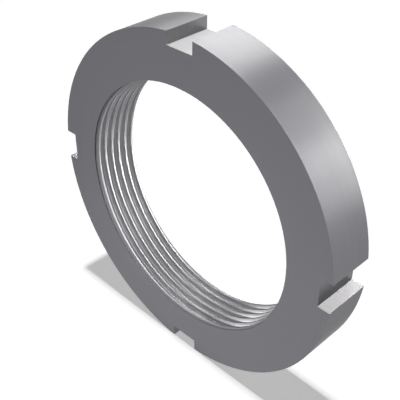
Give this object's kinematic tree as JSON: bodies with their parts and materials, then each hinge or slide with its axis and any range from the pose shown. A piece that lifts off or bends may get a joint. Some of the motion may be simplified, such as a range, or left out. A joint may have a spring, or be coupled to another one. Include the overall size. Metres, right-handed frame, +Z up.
{
  "type": "bearing lock nut",
  "caption": "Flat round steel nut with square spanner slots in its rim and a fine right-hand thread in its bore, made to clamp a bearing on a shaft.",
  "frame": {"origin": "on the thread axis, halfway between the front and rear faces", "axes": "+Y along the thread axis from the front face to the rear face, +Z up through the middle of one slot, +X to the right seen from the front"},
  "size_m": [0.0796, 0.011, 0.0796],
  "materials": {
    "turned_steel": "fine turned and milled dark steel with a satin sheen"
  },
  "bodies": {
    "root": {"lock_nut": "turned_steel"}
  },
  "joints": []
}
